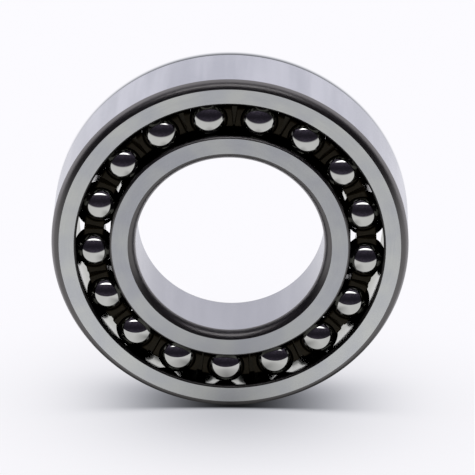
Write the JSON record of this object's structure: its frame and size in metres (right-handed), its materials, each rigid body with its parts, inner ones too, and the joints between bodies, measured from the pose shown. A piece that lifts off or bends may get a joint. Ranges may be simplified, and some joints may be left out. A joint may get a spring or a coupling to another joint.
{
  "type": "self-aligning ball bearing",
  "caption": "Open self-aligning ball bearing with two rows of balls, a snap cage and a spherical outer raceway, for shafts that tilt or bend.",
  "frame": {"origin": "centre of the bearing, on its axis, half way between its side faces", "axes": "+Z along the bearing's axis; X and Y are any two directions across it; it lies flat on its -Z side face"},
  "size_m": [0.085, 0.085, 0.019],
  "materials": {
    "ring_steel": "ground",
    "ball_steel": "polished",
    "cage_plastic": "moulded"
  },
  "bodies": {
    "outer_ring": {"outer_ring": "ring_steel"},
    "cage": {"cage": "cage_plastic"},
    "inner_ring": {"inner_ring": "ring_steel"},
    "upper_ball_01": {"upper_ball_01": "ball_steel"},
    "upper_ball_02": {"upper_ball_02": "ball_steel"},
    "upper_ball_03": {"upper_ball_03": "ball_steel"},
    "upper_ball_04": {"upper_ball_04": "ball_steel"},
    "upper_ball_05": {"upper_ball_05": "ball_steel"},
    "upper_ball_06": {"upper_ball_06": "ball_steel"},
    "upper_ball_07": {"upper_ball_07": "ball_steel"},
    "upper_ball_08": {"upper_ball_08": "ball_steel"},
    "upper_ball_09": {"upper_ball_09": "ball_steel"},
    "upper_ball_10": {"upper_ball_10": "ball_steel"},
    "upper_ball_11": {"upper_ball_11": "ball_steel"},
    "upper_ball_12": {"upper_ball_12": "ball_steel"},
    "upper_ball_13": {"upper_ball_13": "ball_steel"},
    "upper_ball_14": {"upper_ball_14": "ball_steel"},
    "upper_ball_15": {"upper_ball_15": "ball_steel"},
    "upper_ball_16": {"upper_ball_16": "ball_steel"},
    "upper_ball_17": {"upper_ball_17": "ball_steel"},
    "lower_ball_01": {"lower_ball_01": "ball_steel"},
    "lower_ball_02": {"lower_ball_02": "ball_steel"},
    "lower_ball_03": {"lower_ball_03": "ball_steel"},
    "lower_ball_04": {"lower_ball_04": "ball_steel"},
    "lower_ball_05": {"lower_ball_05": "ball_steel"},
    "lower_ball_06": {"lower_ball_06": "ball_steel"},
    "lower_ball_07": {"lower_ball_07": "ball_steel"},
    "lower_ball_08": {"lower_ball_08": "ball_steel"},
    "lower_ball_09": {"lower_ball_09": "ball_steel"},
    "lower_ball_10": {"lower_ball_10": "ball_steel"},
    "lower_ball_11": {"lower_ball_11": "ball_steel"},
    "lower_ball_12": {"lower_ball_12": "ball_steel"},
    "lower_ball_13": {"lower_ball_13": "ball_steel"},
    "lower_ball_14": {"lower_ball_14": "ball_steel"},
    "lower_ball_15": {"lower_ball_15": "ball_steel"},
    "lower_ball_16": {"lower_ball_16": "ball_steel"},
    "lower_ball_17": {"lower_ball_17": "ball_steel"}
  },
  "joints": [
    {"name": "self_align", "type": "hinge", "parent": "outer_ring", "child": "cage", "pos_m": [0, 0, 0], "axis": [1, 0, 0], "range_deg": [-2.5, 2.5]},
    {"name": "inner_ring_spin", "type": "hinge", "parent": "cage", "child": "inner_ring", "pos_m": [0, 0, 0], "axis": [0, 0, 1], "continuous": true},
    {"name": "upper_ball_01_spin", "type": "hinge", "parent": "cage", "child": "upper_ball_01", "pos_m": [0.00497, -0.03212, 0.0046], "axis": [-0.0214, 0.1385, 0.9901], "continuous": true},
    {"name": "upper_ball_02_spin", "type": "hinge", "parent": "cage", "child": "upper_ball_02", "pos_m": [-0.00697, -0.03174, 0.0046], "axis": [0.03, 0.1369, 0.9901], "continuous": true},
    {"name": "upper_ball_03_spin", "type": "hinge", "parent": "cage", "child": "upper_ball_03", "pos_m": [-0.01796, -0.02708, 0.0046], "axis": [0.0775, 0.1168, 0.9901], "continuous": true},
    {"name": "upper_ball_04_spin", "type": "hinge", "parent": "cage", "child": "upper_ball_04", "pos_m": [-0.02653, -0.01877, 0.0046], "axis": [0.1144, 0.0809, 0.9901], "continuous": true},
    {"name": "upper_ball_05_spin", "type": "hinge", "parent": "cage", "child": "upper_ball_05", "pos_m": [-0.03152, -0.00791, 0.0046], "axis": [0.1359, 0.0341, 0.9901], "continuous": true},
    {"name": "upper_ball_06_spin", "type": "hinge", "parent": "cage", "child": "upper_ball_06", "pos_m": [-0.03225, 0.00401, 0.0046], "axis": [0.1391, -0.0173, 0.9901], "continuous": true},
    {"name": "upper_ball_07_spin", "type": "hinge", "parent": "cage", "child": "upper_ball_07", "pos_m": [-0.02863, 0.01539, 0.0046], "axis": [0.1234, -0.0664, 0.9901], "continuous": true},
    {"name": "upper_ball_08_spin", "type": "hinge", "parent": "cage", "child": "upper_ball_08", "pos_m": [-0.02113, 0.02469, 0.0046], "axis": [0.0911, -0.1065, 0.9901], "continuous": true},
    {"name": "upper_ball_09_spin", "type": "hinge", "parent": "cage", "child": "upper_ball_09", "pos_m": [-0.01079, 0.03066, 0.0046], "axis": [0.0465, -0.1322, 0.9901], "continuous": true},
    {"name": "upper_ball_10_spin", "type": "hinge", "parent": "cage", "child": "upper_ball_10", "pos_m": [0.00101, 0.03248, 0.0046], "axis": [-0.0044, -0.1401, 0.9901], "continuous": true},
    {"name": "upper_ball_11_spin", "type": "hinge", "parent": "cage", "child": "upper_ball_11", "pos_m": [0.01268, 0.02992, 0.0046], "axis": [-0.0547, -0.129, 0.9901], "continuous": true},
    {"name": "upper_ball_12_spin", "type": "hinge", "parent": "cage", "child": "upper_ball_12", "pos_m": [0.02263, 0.02332, 0.0046], "axis": [-0.0976, -0.1006, 0.9901], "continuous": true},
    {"name": "upper_ball_13_spin", "type": "hinge", "parent": "cage", "child": "upper_ball_13", "pos_m": [0.02953, 0.01357, 0.0046], "axis": [-0.1273, -0.0585, 0.9901], "continuous": true},
    {"name": "upper_ball_14_spin", "type": "hinge", "parent": "cage", "child": "upper_ball_14", "pos_m": [0.03244, 0.00199, 0.0046], "axis": [-0.1399, -0.0086, 0.9901], "continuous": true},
    {"name": "upper_ball_15_spin", "type": "hinge", "parent": "cage", "child": "upper_ball_15", "pos_m": [0.03097, -0.00987, 0.0046], "axis": [-0.1335, 0.0425, 0.9901], "continuous": true},
    {"name": "upper_ball_16_spin", "type": "hinge", "parent": "cage", "child": "upper_ball_16", "pos_m": [0.02531, -0.02039, 0.0046], "axis": [-0.1091, 0.0879, 0.9901], "continuous": true},
    {"name": "upper_ball_17_spin", "type": "hinge", "parent": "cage", "child": "upper_ball_17", "pos_m": [0.01624, -0.02815, 0.0046], "axis": [-0.07, 0.1214, 0.9901], "continuous": true},
    {"name": "lower_ball_01_spin", "type": "hinge", "parent": "cage", "child": "lower_ball_01", "pos_m": [-0.00101, -0.03248, -0.0046], "axis": [-0.0044, -0.1401, 0.9901], "continuous": true},
    {"name": "lower_ball_02_spin", "type": "hinge", "parent": "cage", "child": "lower_ball_02", "pos_m": [-0.01268, -0.02992, -0.0046], "axis": [-0.0547, -0.129, 0.9901], "continuous": true},
    {"name": "lower_ball_03_spin", "type": "hinge", "parent": "cage", "child": "lower_ball_03", "pos_m": [-0.02263, -0.02332, -0.0046], "axis": [-0.0976, -0.1006, 0.9901], "continuous": true},
    {"name": "lower_ball_04_spin", "type": "hinge", "parent": "cage", "child": "lower_ball_04", "pos_m": [-0.02953, -0.01357, -0.0046], "axis": [-0.1273, -0.0585, 0.9901], "continuous": true},
    {"name": "lower_ball_05_spin", "type": "hinge", "parent": "cage", "child": "lower_ball_05", "pos_m": [-0.03244, -0.00199, -0.0046], "axis": [-0.1399, -0.0086, 0.9901], "continuous": true},
    {"name": "lower_ball_06_spin", "type": "hinge", "parent": "cage", "child": "lower_ball_06", "pos_m": [-0.03097, 0.00987, -0.0046], "axis": [-0.1335, 0.0425, 0.9901], "continuous": true},
    {"name": "lower_ball_07_spin", "type": "hinge", "parent": "cage", "child": "lower_ball_07", "pos_m": [-0.02531, 0.02039, -0.0046], "axis": [-0.1091, 0.0879, 0.9901], "continuous": true},
    {"name": "lower_ball_08_spin", "type": "hinge", "parent": "cage", "child": "lower_ball_08", "pos_m": [-0.01624, 0.02815, -0.0046], "axis": [-0.07, 0.1214, 0.9901], "continuous": true},
    {"name": "lower_ball_09_spin", "type": "hinge", "parent": "cage", "child": "lower_ball_09", "pos_m": [-0.00497, 0.03212, -0.0046], "axis": [-0.0214, 0.1385, 0.9901], "continuous": true},
    {"name": "lower_ball_10_spin", "type": "hinge", "parent": "cage", "child": "lower_ball_10", "pos_m": [0.00697, 0.03174, -0.0046], "axis": [0.03, 0.1369, 0.9901], "continuous": true},
    {"name": "lower_ball_11_spin", "type": "hinge", "parent": "cage", "child": "lower_ball_11", "pos_m": [0.01796, 0.02708, -0.0046], "axis": [0.0775, 0.1168, 0.9901], "continuous": true},
    {"name": "lower_ball_12_spin", "type": "hinge", "parent": "cage", "child": "lower_ball_12", "pos_m": [0.02653, 0.01877, -0.0046], "axis": [0.1144, 0.0809, 0.9901], "continuous": true},
    {"name": "lower_ball_13_spin", "type": "hinge", "parent": "cage", "child": "lower_ball_13", "pos_m": [0.03152, 0.00791, -0.0046], "axis": [0.1359, 0.0341, 0.9901], "continuous": true},
    {"name": "lower_ball_14_spin", "type": "hinge", "parent": "cage", "child": "lower_ball_14", "pos_m": [0.03225, -0.00401, -0.0046], "axis": [0.1391, -0.0173, 0.9901], "continuous": true},
    {"name": "lower_ball_15_spin", "type": "hinge", "parent": "cage", "child": "lower_ball_15", "pos_m": [0.02863, -0.01539, -0.0046], "axis": [0.1234, -0.0664, 0.9901], "continuous": true},
    {"name": "lower_ball_16_spin", "type": "hinge", "parent": "cage", "child": "lower_ball_16", "pos_m": [0.02113, -0.02469, -0.0046], "axis": [0.0911, -0.1065, 0.9901], "continuous": true},
    {"name": "lower_ball_17_spin", "type": "hinge", "parent": "cage", "child": "lower_ball_17", "pos_m": [0.01079, -0.03066, -0.0046], "axis": [0.0465, -0.1322, 0.9901], "continuous": true}
  ],
  "couplings": [
    {"joint": "upper_ball_01_spin", "follows": "inner_ring_spin", "ratio": -5.834},
    {"joint": "upper_ball_02_spin", "follows": "inner_ring_spin", "ratio": -5.834},
    {"joint": "upper_ball_03_spin", "follows": "inner_ring_spin", "ratio": -5.834},
    {"joint": "upper_ball_04_spin", "follows": "inner_ring_spin", "ratio": -5.834},
    {"joint": "upper_ball_05_spin", "follows": "inner_ring_spin", "ratio": -5.834},
    {"joint": "upper_ball_06_spin", "follows": "inner_ring_spin", "ratio": -5.834},
    {"joint": "upper_ball_07_spin", "follows": "inner_ring_spin", "ratio": -5.834},
    {"joint": "upper_ball_08_spin", "follows": "inner_ring_spin", "ratio": -5.834},
    {"joint": "upper_ball_09_spin", "follows": "inner_ring_spin", "ratio": -5.834},
    {"joint": "upper_ball_10_spin", "follows": "inner_ring_spin", "ratio": -5.834},
    {"joint": "upper_ball_11_spin", "follows": "inner_ring_spin", "ratio": -5.834},
    {"joint": "upper_ball_12_spin", "follows": "inner_ring_spin", "ratio": -5.834},
    {"joint": "upper_ball_13_spin", "follows": "inner_ring_spin", "ratio": -5.834},
    {"joint": "upper_ball_14_spin", "follows": "inner_ring_spin", "ratio": -5.834},
    {"joint": "upper_ball_15_spin", "follows": "inner_ring_spin", "ratio": -5.834},
    {"joint": "upper_ball_16_spin", "follows": "inner_ring_spin", "ratio": -5.834},
    {"joint": "upper_ball_17_spin", "follows": "inner_ring_spin", "ratio": -5.834},
    {"joint": "lower_ball_01_spin", "follows": "inner_ring_spin", "ratio": -5.834},
    {"joint": "lower_ball_02_spin", "follows": "inner_ring_spin", "ratio": -5.834},
    {"joint": "lower_ball_03_spin", "follows": "inner_ring_spin", "ratio": -5.834},
    {"joint": "lower_ball_04_spin", "follows": "inner_ring_spin", "ratio": -5.834},
    {"joint": "lower_ball_05_spin", "follows": "inner_ring_spin", "ratio": -5.834},
    {"joint": "lower_ball_06_spin", "follows": "inner_ring_spin", "ratio": -5.834},
    {"joint": "lower_ball_07_spin", "follows": "inner_ring_spin", "ratio": -5.834},
    {"joint": "lower_ball_08_spin", "follows": "inner_ring_spin", "ratio": -5.834},
    {"joint": "lower_ball_09_spin", "follows": "inner_ring_spin", "ratio": -5.834},
    {"joint": "lower_ball_10_spin", "follows": "inner_ring_spin", "ratio": -5.834},
    {"joint": "lower_ball_11_spin", "follows": "inner_ring_spin", "ratio": -5.834},
    {"joint": "lower_ball_12_spin", "follows": "inner_ring_spin", "ratio": -5.834},
    {"joint": "lower_ball_13_spin", "follows": "inner_ring_spin", "ratio": -5.834},
    {"joint": "lower_ball_14_spin", "follows": "inner_ring_spin", "ratio": -5.834},
    {"joint": "lower_ball_15_spin", "follows": "inner_ring_spin", "ratio": -5.834},
    {"joint": "lower_ball_16_spin", "follows": "inner_ring_spin", "ratio": -5.834},
    {"joint": "lower_ball_17_spin", "follows": "inner_ring_spin", "ratio": -5.834}
  ]
}
